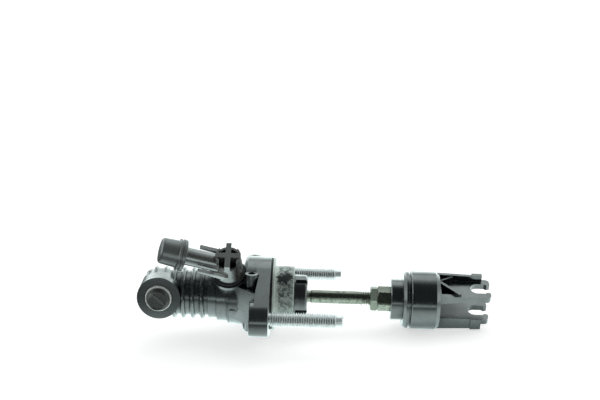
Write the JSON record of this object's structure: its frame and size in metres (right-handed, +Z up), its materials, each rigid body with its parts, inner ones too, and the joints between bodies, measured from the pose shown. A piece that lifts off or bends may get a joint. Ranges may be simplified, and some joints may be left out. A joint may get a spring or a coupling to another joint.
{
  "type": "clutch master cylinder",
  "caption": "Moulded clutch master cylinder with ribbed barrel, hose elbow, flange studs, metal collar, pushrod and slotted pedal clevis.",
  "frame": {"origin": "centre of the mounting flange's face, on the bore axis", "axes": "+X along the bore towards the pedal clevis, +Z up as pictured, -Y the side of the outlet port"},
  "size_m": [0.1903, 0.0786, 0.0587],
  "materials": {
    "body_plastic": "moulded glass-filled nylon, satin",
    "elbow_plastic": "moulded nylon, satin",
    "clevis_plastic": "moulded glass-filled nylon, matte",
    "cap_black": "moulded nylon, semi-matte",
    "natural_nylon": "moulded, satin",
    "transit_cap": "soft moulded cap, matte",
    "seal_rubber": "moulded, satin",
    "stud_zinc": "bright zinc plate",
    "rod_steel": "olive passivated steel",
    "spring_steel": "drawn wire",
    "collar_metal": "cast and frosted, stained",
    "plunger_metal": "hard anodised",
    "port_metal": "turned insert",
    "plug_brown": "moulded transit plug"
  },
  "bodies": {
    "housing": {"cylinder_body": "body_plastic", "outlet_insert": "port_metal", "outlet_plug": "plug_brown", "inlet_elbow": "elbow_plastic", "inlet_grommet": "seal_rubber", "inlet_cap": "transit_cap", "flange_gasket": "seal_rubber", "guide_collar": "collar_metal", "collar_o_ring": "seal_rubber", "stop_washer": "rod_steel", "snap_ring": "spring_steel", "rod_guide_cap": "cap_black", "roll_pins": "spring_steel", "stud_far": "stud_zinc", "stud_near": "stud_zinc", "primary_cup": "seal_rubber", "secondary_cup": "seal_rubber", "seal_spacer": "natural_nylon", "return_spring": "spring_steel"},
    "piston": {"plunger": "plunger_metal", "ball_retainer": "spring_steel"},
    "seat": {"ball_seat": "natural_nylon"},
    "rod": {"pushrod": "rod_steel", "lock_nut": "rod_steel", "adjuster_hex": "rod_steel", "clevis_sleeve": "clevis_plastic", "clevis_fork": "clevis_plastic"}
  },
  "joints": [
    {"name": "plunger_slide", "type": "slide", "parent": "housing", "child": "piston", "axis": [1, 0, 0], "range_m": [-0.02, 0], "stiffness_N_per_m": 900, "springref_m": 0.01, "deforming": ["return_spring"]},
    {"name": "rod_swing", "type": "hinge", "parent": "piston", "child": "seat", "pos_m": [0.0008, 0, 0], "axis": [0, -0.309, 0.9511], "range_deg": [-2.5, 2.5]},
    {"name": "rod_spin", "type": "hinge", "parent": "seat", "child": "rod", "pos_m": [0.0008, 0, 0], "axis": [1, 0, 0], "continuous": true}
  ]
}
